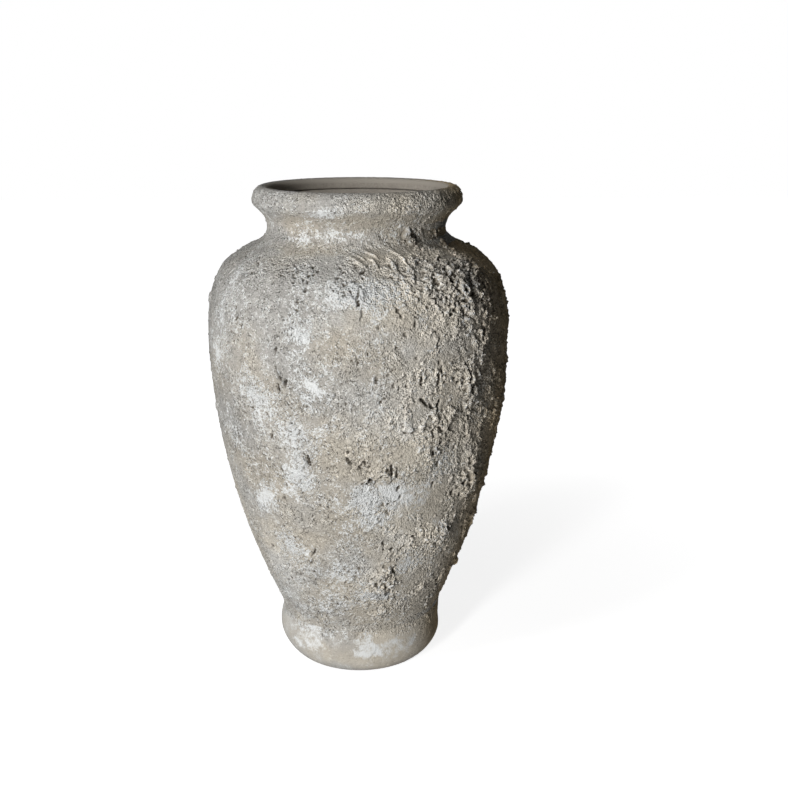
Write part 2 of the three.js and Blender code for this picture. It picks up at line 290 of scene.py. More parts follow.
# Where the crust lies thick or is worn thin, as in the solids: azimuth, share of the outline's length, half
# width, half height and rise
PATCHES = (
    (40, 0.785, 34, 24, 3), (46, 0.727, 26, 16, 2), (12, 0.84, 22, 13, 1.4), (0, 0.766, 24, 12, 1.4),
    (48, 0.669, 12, 16, 1.4), (42, 0.614, 12, 18, 1.9), (26, 0.592, 30, 28, 1.1), (66, 0.563, 16, 40, 1.3),
    (24, 0.52, 16, 22, 1.7), (50, 0.431, 16, 26, 2.6), (40, 0.336, 14, 12, 2.2), (64, 0.315, 12, 30, 1.1),
    (-5, 0.534, 18, 14, 0.8), (9, 0.465, 14, 9, 1.6), (-22, 0.274, 12, 11, 1.3), (12, 0.248, 18, 24, 3),
    (12, 0.16, 12, 9, 1.8), (-150, 0.777, 34, 18, 2.3), (140, 0.695, 40, 40, 2.5), (100, 0.54, 26, 34, 2.3),
    (-130, 0.474, 34, 40, 2.3), (170, 0.315, 30, 26, 2.6), (-95, 0.292, 22, 26, 1.7),
    (3, 0.738, 24, 9, -0.7), (-8, 0.695, 18, 12, -0.6), (-110, 0.695, 26, 18, -0.8),
    (34, 0.605, 10, 12, -1.1), (-165, 0.607, 26, 24, -1), (16, 0.5, 12, 10, -1.2),
    (-39, 0.453, 14, 20, -0.8), (120, 0.429, 20, 30, -1), (32, 0.397, 12, 12, -1.1),
    (-6, 0.359, 14, 12, -0.7), (-19, 0.327, 18, 10, -0.9), (22, 0.264, 12, 10, -0.9),
    (-14, 0.236, 11, 9, -0.9), (-3, 0.16, 12, 9, -0.9), (150, 0.15, 30, 12, -0.9), (12, 0.118, 24, 8, -0.6),
)
# How far the vase itself is out of true
LEANS = (
    (-90, 0.797, 40, 11, 1.4), (-90, 0.89, 60, 10, 0.9), (90, 0.89, 60, 10, -0.9),
    (-90, 0.106, 60, 6, -1.3), (90, 0.106, 60, 6, 0.5), (-90, 0.075, 70, 10, 1.2),
    (90, 0.075, 70, 10, -0.9),
)
PATCH_FADE = 14.0  # along the outline, from both ends of the crust
# Where the fine relief lies low at the outline
TRIMS = (
    (-90, 0.81, 30, 8, -1.5), (90, 0.838, 30, 8, -1.9),
)
THICK_PER_MM, BARE_PER_MM = 0.42, -0.88  # how strongly a patch counts as thick or bare, by its rise
# Smooth places: azimuth, height, half width, half height and strength, as in the next six lists
EVEN = (
    (11, 380, 46, 7, 1), (-30, 376, 34, 9, 0.7), (75, 375, 34, 8, 0.7), (0, 20, 400, 14, 0.7),
    (-40, 358, 60, 7, 0.6), (-60, 240, 40, 60, 0.35), (-30, 290, 30, 24, 0.25), (150, 378, 60, 7, 0.8),
    (-120, 378, 60, 7, 0.8), (5, 371, 20, 5, 0.5), (84, 354, 26, 9, 0.9), (24, 170, 13, 17, 0.7),
    (24, 88, 12, 12, 0.4), (-42, 374, 26, 10, 0.8), (72, 45, 30, 20, 0.5),
)
# Rough places
GRAINY = (
    (0, 393, 400, 9, 0.6), (-40, 345, 44, 9, 0.3), (36, 300, 26, 26, 0.15), (40, 230, 24, 36, 0.15),
    (30, 150, 24, 26, 0.15), (-30, 205, 20, 14, 0.3), (-48, 282, 14, 18, 0.25),
)
# Where lime wash lies
WASH = (
    (-45, 270, 60, 110, 0.06), (-25, 60, 60, 60, 0.3), (-21, 302, 11, 14, 0.95), (-18, 386, 15, 5, 1),
    (-28, 364, 14, 9, 0.4), (-4, 369, 18, 7, 0.75), (-38, 253, 18, 14, 0.9), (-14, 263, 14, 16, 0.8),
    (-24, 226, 16, 15, 0.85), (-24, 193, 14, 15, 1), (-42, 165, 13, 13, 0.65), (-39, 233, 10, 14, 0.5),
    (8, 178, 26, 12, 1.2), (4, 170, 16, 12, 0.4), (25, 166, 11, 11, 0.35), (4, 157, 12, 9, 1),
    (-34, 126, 12, 14, 0.85), (-8, 108, 10, 9, 0.9), (-27, 105, 9, 8, 0.8), (-22, 64, 9, 7, 0.8),
    (22, 110, 14, 11, 0.8), (8, 85, 12, 7, 1.1), (3, 27, 15, 12, 0.5), (25, 29, 12, 10, 0.65),
    (-44, 31, 22, 13, 0.5), (0, 333, 26, 12, 1.3), (-55, 325, 20, 16, 0.4), (-62, 280, 14, 26, 0.4),
    (-60, 215, 14, 16, 0.5), (28, 200, 20, 16, 0.5), (55, 240, 18, 30, 0.3), (110, 320, 34, 18, 0.9),
    (140, 240, 24, 24, 0.9), (-120, 260, 28, 20, 1), (-150, 160, 26, 22, 1), (175, 200, 22, 30, 0.9),
    (100, 140, 22, 24, 0.9), (-100, 70, 26, 14, 0.9), (130, 90, 20, 18, 0.8), (-140, 365, 30, 9, 0.8),
    (120, 30, 30, 12, 0.9), (-150, 28, 26, 12, 0.8), (90, 392, 22, 8, 0.6),
)
# Where the plaster is paler, or darker: partly its own tone, partly painted light, as on the top of the
# shoulder and on rough ground in shade, and painted shade, as on the edges that turn from the lamps
PAINTED_LIGHT_AND_TONE = (
    (25, 285, 26, 40, 1.3), (24, 150, 20, 60, 0.9), (20, 45, 22, 16, 0.8), (4, 333, 40, 12, 1.5),
    (-40, 110, 24, 30, 0.5), (50, 195, 14, 30, 0.5), (-40, 30, 24, 14, 0.5), (150, 290, 40, 40, 0.9),
    (-150, 200, 40, 40, 0.9), (42, 212, 24, 40, 0.9), (40, 30, 34, 20, 1.2), (36, 105, 22, 36, 0.8),
    (-38, 362, 24, 10, -0.7), (-76, 290, 16, 60, -0.6), (-56, 215, 16, 22, -0.5), (76, 290, 20, 46, -1.2),
    (70, 336, 18, 14, -0.6), (52, 362, 24, 10, -0.9), (50, 390, 20, 8, -0.6), (-24, 290, 16, 20, -0.4),
    (-20, 354, 60, 9, 1.3), (28, 354, 40, 9, 1.4), (-75, 115, 12, 60, 1), (-72, 34, 18, 16, 1.2),
    (-80, 275, 12, 50, -0.9), (12, 12, 80, 8, 1.2), (-40, 192, 16, 18, -0.8), (62, 185, 12, 20, -0.8),
    (64, 110, 10, 14, -0.8), (-20, 255, 20, 18, -0.6), (-22, 330, 20, 10, -0.5), (22, 148, 14, 16, 1),
    (26, 172, 12, 14, 0.5), (0, 312, 34, 10, 0.5), (-62, 250, 14, 24, -0.5), (62, 290, 12, 40, -1),
    (-48, 225, 14, 24, -0.5), (-4, 140, 16, 16, -0.5), (-84, 290, 10, 60, -0.6), (10, 235, 26, 26, 1),
    (14, 165, 24, 36, 1), (10, 95, 24, 24, 0.9), (-48, 110, 14, 30, 0.8),
)
# Where small pores gather, and where they are deep
PORED = ((-40, 347, 44, 10, 0.9), (-5, 335, 30, 8, 0.6))
DEEP_PORED = ((-40, 347, 40, 9, 0.9), (-22, 342, 16, 7, 0.6), (-2, 335, 24, 8, 0.6), (-30, 272, 12, 12, 0.5))
# Where the trowel was dragged over the shoulder
DRAGGED = ((12, 353, 19, 13, 1.6),)
# Single lumps: azimuth, height, half width, half height, lean and rise
LUMPS = (
    (31, 369, 3, 5, 14, 3.4), (33, 363, 3.8, 4.6, -12, 3.6), (36, 371, 2.4, 2.6, 0, 1.6),
    (60, 359, 2.6, 4.2, 10, 2.2), (9, 196, 8, 4.6, 60, 1.8), (4, 192, 4, 3, 80, 1.6),
    (42, 263, 2.8, 10, 6, 1.7), (44, 247, 3, 7, -8, 1.5), (48, 289, 2.4, 8, 4, 1.7),
    (-28, 270, 4.5, 8, 14, 0.9), (73, 267, 3, 4, 0, 1.6), (70, 205, 3.2, 4.4, 0, 1.7),
    (69, 89, 3.4, 4.2, 0, 1.8), (-80, 315, 3, 4, 0, 1.5), (-74, 228, 3, 4, 0, 1.5),
    (50, 190, 3.6, 6, 20, 1.7), (52, 172, 3.4, 6.5, -10, 1.6), (40, 138, 4.6, 4, 30, 1.7),
    (12, 108, 5, 4, 20, 1.6), (10, 92, 6, 4, 60, 1.8), (15, 98, 3.4, 4.6, -20, 1.6),
    (30, 345, 4, 6, 20, 1.8), (42, 330, 5, 4, 50, 1.8), (38, 318, 4, 5, 0, 1.6), (115, 290, 4, 7, 10, 1.6),
    (160, 150, 5, 4, 40, 1.5), (-120, 190, 4, 6, -15, 1.5), (-150, 330, 5, 4, 30, 1.5),
    (-165, 366, 3, 5, 0, 1.8),
)
# Edges of loose flakes: azimuth, height, half length, lean and depth. The flake stands up on their left.
FLAKES = (
    (-27, 272, 8, -20, 1.2), (-20, 207, 5, -18, 1.4), (-4, 207, 4.5, -36, 1.2), (14, 197, 5, 8, 1.4),
    (3, 191, 3, 30, 1.5), (-48, 119, 3.4, 30, 1.2), (-24, 116, 5, 30, 1.3), (-22, 103, 4, -30, 1.2),
    (8, 23, 8, 34, 0.6), (14, 63, 7, 30, 1.2), (1, 318, 6, 6, 1.1), (-60, 240, 6, 20, 1.2),
    (30, 228, 8, -12, 1.2), (46, 214, 7, 16, 1.3), (28, 296, 6, 20, 1), (-50, 296, 7, 12, 0.8),
    (150, 270, 8, 20, 1.4), (-140, 230, 7, -20, 1.4), (110, 110, 6, 30, 1.3), (-100, 330, 6, 30, 1.3),
)
# Pits and slits that show one by one: azimuth, height, half width, half height, lean and depth
PITS = (
    (-66, 343, 1.2, 2.2, 20, 1), (-64, 338, 1.1, 1.6, 20, 0.9), (-49, 342, 1.1, 1.9, 10, 1.1),
    (-52, 344, 1, 1.2, 0, 0.7), (-35, 346, 1.1, 1.5, 0, 1), (-32, 349, 1.1, 1.2, -30, 1),
    (-34, 349, 1.2, 0.9, 0, 0.9), (-30, 346, 0.9, 1.5, 0, 0.8), (-24, 350, 1.3, 0.9, 0, 0.9),
    (-20, 349, 1.1, 2, -30, 1.1), (-17, 347, 0.9, 1.5, 10, 0.9), (-20, 344, 1.1, 1.6, 30, 1.1),
    (-22, 341, 1.1, 0.9, 0, 1), (-20, 340, 0.9, 1.7, -20, 0.9), (-20, 335, 1, 1.9, 5, 1.2),
    (-26, 342, 1.3, 0.9, 20, 0.8), (-26, 339, 1.6, 0.9, 20, 0.8), (-35, 338, 0.9, 1.4, 0, 0.8),
    (-8, 343, 1.1, 1.6, 10, 0.9), (2, 346, 0.9, 3.4, 42, 1), (2, 343, 0.9, 1.4, 0, 0.9),
    (0, 331, 1.1, 5.4, 6, 0.8), (0, 326, 1, 1.9, 0, 1.1), (-30, 290, 0.9, 3.6, 24, 1),
    (-30, 277, 0.9, 3.4, -22, 1.1), (-28, 271, 1, 4, -30, 1.3), (-26, 267, 0.9, 3, 6, 1.2),
    (-29, 263, 1.1, 3.6, -6, 1.3), (-46, 304, 1, 2.2, 20, 0.9), (-58, 271, 1, 2.6, 0, 0.9),
    (-55, 261, 0.9, 1.9, 10, 0.8), (-60, 257, 1.1, 1.2, 0, 0.9), (-18, 275, 1, 2, -10, 0.5),
    (-4, 271, 1, 1, 0, 0.6), (6, 271, 1.2, 2.4, 0, 0.8), (3, 291, 0.8, 1.4, 0, 0.9),
    (-5, 334, 0.9, 1.2, 0, 0.8), (37, 337, 1.8, 3, -20, 1.5), (46, 331, 1.6, 2.6, -10, 1.3),
    (56, 330, 1.6, 3.4, -10, 1.3), (47, 326, 1.8, 1.6, 0, 1.2), (38, 322, 1.8, 1.4, 30, 1.5),
    (34, 315, 1.4, 1.2, -20, 1.2), (38, 349, 1.6, 1.4, 0, 1.1), (32, 351, 1.4, 1.6, 0, 1.1),
    (42, 329, 1.4, 1.8, 0, 1.2), (20, 311, 1, 3.4, 0, 0.8), (16, 304, 1, 2.8, -14, 0.7),
    (7, 310, 0.8, 1.9, 0, 0.8), (14, 321, 1, 2.4, -24, 0.8), (15, 317, 0.9, 1.8, 20, 0.8),
    (28, 304, 1.2, 0.9, 0, 0.5), (20, 286, 1.1, 1.2, -30, 0.6), (29, 281, 1.2, 2, 0, 0.6),
    (50, 298, 1.8, 3.4, 0, 1.2), (30, 275, 0.9, 3, 0, 0.9), (29, 269, 1.1, 6, -4, 1.1),
    (42, 267, 1.5, 5, 0, 1.4), (44, 257, 1.4, 3.4, 0, 1.3), (22, 269, 1, 5, 4, 0.9),
    (23, 253, 1.1, 4.4, -42, 1.3), (26, 248, 1.2, 3, -30, 1.3), (29, 250, 1, 3.4, 24, 1.2),
    (6, 273, 1.1, 2, 0, 0.7), (10, 275, 1.4, 1.2, 0, 0.6), (12, 267, 0.9, 2.2, 0, 0.7),
    (-19, 207, 1.1, 4.4, -12, 1.7), (-4, 209, 0.9, 3.6, -34, 1.3), (2, 207, 1, 2, 0, 1.1),
    (0, 203, 0.9, 1.8, 10, 1), (4, 193, 1.4, 2.6, -20, 1.5), (-35, 240, 0.8, 3, -34, 0.9),
    (-34, 223, 0.9, 2.2, 20, 0.8), (-53, 216, 0.9, 5, -4, 1), (-58, 200, 1.1, 1.6, 0, 1.1),
    (-67, 225, 1.2, 3.4, -10, 1.1), (-31, 196, 1, 2.6, -14, 0.9), (-30, 183, 0.8, 3.4, 0, 0.7),
    (0, 225, 1.1, 1.2, 0, 0.5), (-4, 216, 0.9, 1.6, 0, 1), (-48, 120, 1.1, 2, -30, 1),
    (-22, 124, 0.8, 4.2, 30, 0.9), (-12, 244, 1, 1.8, -20, 0.5), (-32, 171, 0.9, 2, 10, 0.8),
    (12, 200, 1.1, 4, -6, 1.5), (24, 250, 1.1, 2, -40, 1.1), (28, 210, 1.4, 2.4, -30, 1.3),
    (31, 200, 1.4, 2, -20, 1.1), (30, 183, 1.2, 2.6, 0, 1.1), (46, 178, 1.6, 3, 10, 1.4),
    (41, 170, 1.4, 2.4, 10, 1.2), (52, 183, 1.6, 4, 20, 1.2), (41, 141, 1.6, 2, -30, 1.3),
    (24, 138, 1.2, 1.4, -40, 1.2), (19, 129, 0.9, 3, 40, 1.1), (10, 135, 0.9, 2.2, 0, 1),
    (14, 129, 1.3, 1.2, 0, 1.1), (16, 108, 1.1, 3.2, -30, 1.2), (8, 95, 1, 2.6, -10, 1.2),
    (50, 83, 1.4, 2.4, 30, 1.2), (15, 184, 1, 2.2, 20, 1), (16, 176, 1, 2, -10, 1),
    (-25, 116, 1.1, 1.6, 0, 1), (-28, 59, 1.1, 1.8, -30, 0.9), (-24, 105, 1, 1.4, 0, 0.9),
    (38, 366, 1.3, 5.4, 0, 1.3), (60, 357, 1.2, 2, 0, 1),
)
# Grains: spacing, seed, chance on smooth and on rough ground, least and most rise, and the share of them that
# lies outside the heavy crust
GRAINS = (
    (12, 40, 0.1, 0.3, 0.8, 1.8, 0),
    (7.4, 41, 0.02, 0.4, 0.8, 2, 0.25),
    (5, 42, 0.02, 0.22, 0.6, 1.8, 1),
    (3.4, 44, 0.04, 0.24, 0.6, 1.5, 1),
    (2.3, 46, 0.1, 0.3, 0.4, 1, 1),
)
GRAIN_REACH, GRAIN_REACH_MORE = 0.42, 0.26  # a grain's half width in cells, and what chance adds

coarse = hills(PATCHES + LEANS)
coarse *= ease(0, PATCH_FADE, LENGTH - ends[0]) * ease(0, PATCH_FADE, crest_length - LENGTH)
thick = spots([(*p[:4], THICK_PER_MM * p[4]) for p in PATCHES if p[4] > 0], at_share) + spots(GRAINY)
bare = spots([(*p[:4], BARE_PER_MM * p[4]) for p in PATCHES if p[4] < 0], at_share) + spots(EVEN)
wash = spots(WASH)
painted_light_and_tone = spots(PAINTED_LIGHT_AND_TONE)
patches = layered(bent, size=36, seed=10, octaves=3)
right_side = np.sin(np.radians(AZ))

# Shares of each place, from 0 to 1: a smooth film of plaster, a rough ground and a heavy crust of clods
film = layered(bent, size=20, seed=90, octaves=4, keep=0.6)
film = ease(0.0, 0.16, film - 0.5 * thick + 0.6 * bare + 0.06)
rough = ease(-0.4, 0.95, 0.55 * patches + 0.85 * thick - 0.75 * bare + 0.34 * right_side)
rough = rough * (1 - 0.85 * film)
heavy = ease(0.5, 1.2, thick + 0.35 * patches - bare)


def grains(size, seed, smooth_chance, rough_chance, least, most):
    """Grains scattered a size apart. Each is there by a chance that grows with the roughness, has its own
    reach and rises to a height between two."""
    away, number = scatter(P + 0.1 * size * small_warp, size, seed)
    chance = smooth_chance + (rough_chance - smooth_chance) * rough
    there = ease(0, 0.1, chance - share(number, 0))
    reach = GRAIN_REACH + GRAIN_REACH_MORE * share(number, 2)
    return ease(1.0, 0.6, away / reach) * there * (least + (most - least) * share(number, 1))


# The fine relief, in millimetres above the coarse one. The number before each form is its rise.
relief = 0.3 * noise(P, size=75, seed=21) + 0.2 * noise(P, size=32, seed=22) + 0.15 * film
flakes = layered(bent, size=24, seed=24, octaves=5, keep=0.62) + 0.5 * (rough - 0.3)
relief += (0.35 + 0.65 * rough) * terraces(flakes, (-0.04, 0.03, 0.7), (0.36, 0.42, 0.6))
stretched = P * np.array([1, 1, 0.64], np.float32)  # clumps are taller than wide
scabs = layered(stretched + 1.5 * small_warp, size=10, seed=26, octaves=4, keep=0.68) + 0.55 * (rough - 0.45)
scabbed = (0.08 + 0.92 * rough) * (1 - 0.6 * film)
relief += scabbed * terraces(scabs, (0.12, 0.2, 0.6), (0.42, 0.5, 0.45))
crumbs = layered(stretched + 0.8 * small_warp, size=9, seed=30, octaves=4, keep=0.72)
rough_crumbs = 0.8 * crumbs + 0.95 * ease(0.08, 0.18, crumbs)
relief += rough * (1 - 0.4 * heavy) * rough_crumbs + 0.12 * crumbs * (1 - 0.7 * film)

# On the right of the shoulder the trowel has dragged the clods down to the right
arc = np.radians(AZ) * RADIUS
slant = np.stack([0.71 * (arc + LENGTH), 0.36 * (arc - LENGTH), 0 * arc], -1)
smeared = ease(-20, 5, AZ) * ease(110, 90, AZ)
clods = layered(bent, size=15, seed=34, octaves=4, keep=0.6)
streaks = layered(slant + 2.0 * small_warp, size=9, seed=36, octaves=4, keep=0.66)
clods += smeared * (streaks - clods) + 0.4 * (heavy - 0.5)
relief += heavy * terraces(clods, (0.0, 0.12, 1.5), (0.33, 0.45, 1.0))
for *kind, elsewhere in GRAINS:
    relief += (elsewhere + (1 - elsewhere) * heavy) * grains(*kind)

pores = ease(0.3, 0.46, noise(P + 0.6 * small_warp, size=2.8, seed=52) + 0.2 * noise(P, size=1.7, seed=53))
pored = ease(-0.15, 0.4, noise(bent, size=26, seed=54) + spots(PORED))
pore_depth = 1.2 + 0.9 * rough + 0.9 * spots(DEEP_PORED)
relief -= pores * pored * pore_depth * (1 - 0.7 * film)
relief += 0.2 * noise(P, size=1.6, seed=48) * (0.5 + rough) * (1 - 0.6 * film)
# The patches carry the rise, so the fine relief comes down to about its mean
relief -= 1.1 * rough * (1 - 0.4 * heavy) + 1.35 * heavy + 0.2 * film

# Drag marks of the trowel over the right of the shoulder, and brush strokes round the neck
across, along = local(13, 354, lean=-22)
bow = across + 0.012 * along ** 2
drag = noise(np.stack([bow + 0.8 * warp[:, 0], along / 7, 0 * across], -1), size=4.6, seed=50)
dragged = np.minimum(1, spots(DRAGGED))
relief = relief * (1 - 0.65 * dragged) + 2.8 * dragged * (ease(0.05, 0.28, drag) - 0.25)
swing = LENGTH + 3 * np.sin(np.radians(AZ * 3))
stroke = noise(np.stack([swing, AZ / 3, 0 * AZ], -1), size=1.7, seed=52)
on_neck = ease(352, 362, HEIGHT) * ease(386, 378, HEIGHT)
relief += 0.2 * stroke * on_neck * (0.4 + 0.6 * ease(0, 40, AZ))

for az, height, wide, tall, lean, rise in LUMPS:
    across, along = local(az, height, lean)
    across = across + 0.7 * small_warp[:, 0] + 0.8 * warp[:, 1]
    along = along + 0.7 * small_warp[:, 1] + 0.8 * warp[:, 2]
    relief += rise * ease(1.15, 0.7, np.hypot(across / wide, along / tall))

for az, height, half, lean, depth in FLAKES:
    across, along = local(az, height, lean)
    across = across + 1.6 * warp[:, 0] + 0.9 * small_warp[:, 1] + 0.02 * along ** 2
    within = ease(1.2, 0.4, np.abs(along) / half + 0.25 * small_warp[:, 2])
    relief += 0.8 * depth * within * ease(-8, -1.2, across) * ease(0.5, -0.5, across)
    relief -= 0.55 * depth * within * ease(-0.4, 0.4, across) * ease(2.2, 0.6, across)

# The back has pits like those of the front
pit = np.zeros(len(P), np.float32)
crumble = 0.9 * noise(P, size=1.9, seed=57) + 0.6 * noise(P, size=1.1, seed=58)
for az, height, wide, tall, lean, depth in PITS:
    for place in (az, 180 - az):
        across, along = local(place, height, lean)
        across = (across + 0.8 * small_warp[:, 0]) / wide
        along = (along + 0.5 * small_warp[:, 2]) / tall
        pit = np.maximum(pit, depth * ease(1.35, 0.55, np.hypot(across, along) + 0.8 * crumble))

# The fine relief keeps to the outline on the whole, is low on the rim, neck and foot, and thins out to the
# ends of the coat
LOWEST, HIGHEST = -1.9, 4.0
LOWEST_IN_ALL, HIGHEST_IN_ALL = -2.1, 6.8
PIT_DEPTH = 1.8
LEVEL_REACH, CAVITY_REACH = 6, 2.0
LEAST_HEIGHT = 0.15  # above the floor
past_crest = LENGTH - crest_length
thin = ease(0, 5, LENGTH - ends[0]) * ease(4, -8, past_crest)
level = soften(np.broadcast_to(relief.reshape(shape).mean(1, keepdims=True), shape), LEVEL_REACH)
on_rim = ease(381, 386, HEIGHT).reshape(shape)
at_neck = np.exp(-((HEIGHT - 357) / 6) ** 2).reshape(shape)
on_foot = ease(52, 34, HEIGHT + 6 * warp[:, 2])
relief = (relief.reshape(shape) - level) * (1 - 0.55 * on_rim) * (1 - 0.3 * at_neck) - 0.35 * at_neck
relief *= (1 - 0.75 * on_foot).reshape(shape)
relief += hills(TRIMS).reshape(shape)
relief = np.clip(relief, LOWEST, HIGHEST) - PIT_DEPTH * pit.reshape(shape)
relief *= thin.reshape(shape)
cavity = relief - soften(relief, CAVITY_REACH)
relief = np.clip(relief + coarse.reshape(shape), LOWEST_IN_ALL, HIGHEST_IN_ALL)
crust = base + relief[..., None] * outward
crust[..., 2] = np.maximum(crust[..., 2], LEAST_HEIGHT)

# What the paint goes by
wash_field = wash + 0.75 * layered(bent, size=24, seed=60, octaves=5, keep=0.6)
bare_field = bare + 0.35 * layered(bent, size=26, seed=70, octaves=3) + 0.5 * right_side
bare_field = bare_field + 0.5 * ease(345, 215, HEIGHT) - 0.4 * ease(50, 30, HEIGHT) - 0.24
foot_skin = 0.9 * ease(52, 32, HEIGHT + 7 * warp[:, 2] + 3 * small_warp[:, 0])
fields = {
    "wash": wash_field,
    "bare": bare_field,
    "rough": rough,
    "skin": np.maximum(0.75 * film, foot_skin),
    "cavity": cavity,
    "smooth": ease(0.5, 4, past_crest + small_warp[:, 0]),
    "pit": pit,
    "painted_light_and_tone": painted_light_and_tone,
    # The side turned from the lamps, made browner and darker: partly plaster colour, mostly painted shade
    "browner_and_painted_shade": ease(40, 78, AZ) * ease(150, 110, AZ),
}
fields = {name: field.reshape(shape) for name, field in fields.items()}

# The shading follows a slightly sharper relief than the mesh can carry
SHARPER = 0.35
sharp = crust + SHARPER * cavity[..., None] * outward
upward = np.gradient(sharp, axis=0)
sideways = np.roll(sharp, -1, 1) - np.roll(sharp, 1, 1)
normals = np.cross(sideways, upward)
normals /= np.linalg.norm(normals, axis=-1, keepdims=True)


# Meshes

BACK_ROWS = 5  # on the plain back of a band
BACK_DEPTH = CRUST - 0.1
BACK_SHARE = 0.04  # of a band's map, for its back
MAP_PAD = 0.004
CORNER_STEPS = 4
CORNER_MOST = 0.45  # of the shorter side at a corner
SHARP_EDGE = math.radians(50)


def new_mesh(name, points, faces):
    """A smooth mesh object from points and an array of four-sided faces."""
    mesh = bpy.data.meshes.new(name)
    mesh.vertices.add(len(points))
    mesh.vertices.foreach_set("co", (points * MM).astype(np.float32).ravel())
    mesh.loops.add(faces.size)
    mesh.loops.foreach_set("vertex_index", faces.astype(np.int32).ravel())
    mesh.polygons.add(len(faces))
    mesh.polygons.foreach_set("loop_start", np.arange(0, faces.size, 4, dtype=np.int32))
    mesh.polygons.foreach_set("use_smooth", np.full(len(faces), True))
    mesh.update(calc_edges=True)
    piece = bpy.data.objects.new(name, mesh)
    bpy.context.scene.collection.objects.link(piece)
    return piece


def ring_faces(rows, columns):
    """Faces between rows of points round the axis, from the last row on to the first."""
    steps = np.arange(rows)
    a = steps[:, None] * columns
    b = ((steps + 1) % rows)[:, None] * columns
    left, right = np.arange(columns), (np.arange(columns) + 1) % columns
    return np.stack([a + left, a + right, b + right, b + left], -1).reshape(-1, 4)


def bake_map(piece, rows, columns, heights):
    """A map for the piece's colours: its band cut into strips, stacked so that they fill the square."""
    width = TURN * float(np.linalg.norm(np.array(piece.data.vertices[0].co[:2]))) / MM
    strips = max(1, round(math.sqrt(width / max(heights[-1], 1))))
    steps = columns / strips
    column = np.arange(columns)
    strip = np.floor(column / steps)
    start = column / steps - strip
    u = np.stack([start, start + 1 / steps, start + 1 / steps, start], -1)
    low, high = heights[:-1] / heights[-1], heights[1:] / heights[-1]
    v = np.stack([low, low, high, high], -1)
    u = np.broadcast_to(MAP_PAD + (1 - 2 * MAP_PAD) * u[None], (rows, columns, 4))
    v = (strip[None, :, None] + MAP_PAD + (1 - 2 * MAP_PAD) * v[:, None, :]) / strips
    layer = piece.data.uv_layers.new(name="OFBake")
    layer.uv.foreach_set("vector", np.stack([u, v], -1).astype(np.float32).ravel())


def crust_band(index, name):
    """One band of the crust: its rough outside, and a plain back that closes it."""
    first, last = band_rows[index], band_rows[index + 1]
    front = crust[first:last + 1]
    back_rows = np.unique(np.linspace(first, last, BACK_ROWS).round().astype(int))[::-1]
    back_lengths = row_lengths[back_rows]
    back = spin(wall(back_lengths, BACK_DEPTH), crust_angles)
    points = np.concatenate([front, back]).reshape(-1, 3)
    rows = len(front) + len(back)
    piece = new_mesh(name, points, ring_faces(rows, COLUMNS))
    back_normals = spin(wall(back_lengths, 1.0), crust_angles) - spin(wall(back_lengths), crust_angles)
    facing = np.concatenate([normals[first:last + 1], back_normals]).reshape(-1, 3)
    piece.data.normals_split_custom_set_from_vertices(facing.tolist())
    for field_name, field in fields.items():
        values = np.concatenate([field[first:last + 1].ravel(), np.zeros(back[..., 0].size)])
        attribute = piece.data.attributes.new(field_name, "FLOAT", "POINT")
        attribute.data.foreach_set("value", values.astype(np.float32))
    front_heights = row_lengths[first:last + 1] - row_lengths[first]
    back_steps = np.arange(1, len(back) + 2) / (len(back) + 1)
    back_heights = front_heights[-1] + BACK_SHARE * front_heights[-1] * back_steps
    bake_map(piece, rows, COLUMNS, np.concatenate([front_heights, back_heights]))
    return piece


def rounded(corners, radius):
    """A closed outline with its corners rounded off."""
    points, count = [], len(corners)
    for i in range(count):
        before, here, after = (np.array(corners[(i + k) % count], float) for k in (-1, 0, 1))
        back, on = np.linalg.norm(before - here), np.linalg.norm(after - here)
        reach = min(radius, CORNER_MOST * back, CORNER_MOST * on)
        start = here + reach * (before - here) / back
        end = here + reach * (after - here) / on
        for t in np.linspace(0, 1, CORNER_STEPS + 1):
            points.append((1 - t) ** 2 * start + 2 * t * (1 - t) * here + t * t * end)
    return np.array(points)


def divided(points, step):
    """A closed outline with no stretch longer than a step."""
    out = []
    for a, b in zip(points, np.roll(points, -1, 0)):
        count = max(1, math.ceil(np.linalg.norm(b - a) / step))
        out += [a + (b - a) * i / count for i in range(count)]
    return np.array(out)


def turned(name, profile, columns, bumps):
    """A piece turned from a closed profile. bumps moves its points outward by a function of place."""
    angles = np.arange(columns) / columns * 2 * math.pi
    points = spin(profile, angles)
    tangent = np.roll(profile, -1, 0) - np.roll(profile, 1, 0)
    tangent /= np.linalg.norm(tangent, axis=1, keepdims=True)
    out = spin(np.stack([tangent[:, 1], -tangent[:, 0]], -1), angles)
    points = points + out * bumps(points.reshape(-1, 3)).reshape(len(profile), columns, 1)
    piece = new_mesh(name, points.reshape(-1, 3), ring_faces(len(profile), columns))
    piece.data.set_sharp_from_angle(angle=SHARP_EDGE)
    return piece


# Materials

PLASTER_GREY, PLASTER_TAN = (0.348, 0.337, 0.315, 1), (0.379, 0.346, 0.292, 1)
LIME = (0.55, 0.558, 0.553, 1)
DENT_SHADE, HOLLOW_SHADE = (0.14, 0.12, 0.09, 1), (0.12, 0.10, 0.075, 1)
PIT_SHADE = (0.06, 0.052, 0.042, 1)
BROWNER_SHADE_TINT = (1.0, 0.83, 0.56, 1)
SLIP_LIGHT, SLIP_DARK = (0.385, 0.35, 0.302, 1), (0.335, 0.302, 0.26, 1)
CLAY_LIGHT, CLAY_DARK = (0.40, 0.315, 0.235, 1), (0.31, 0.245, 0.185, 1)
LUTE_LIGHT, LUTE_DARK = (0.26, 0.21, 0.165, 1), (0.20, 0.165, 0.13, 1)
WHITE = (1, 1, 1, 1)


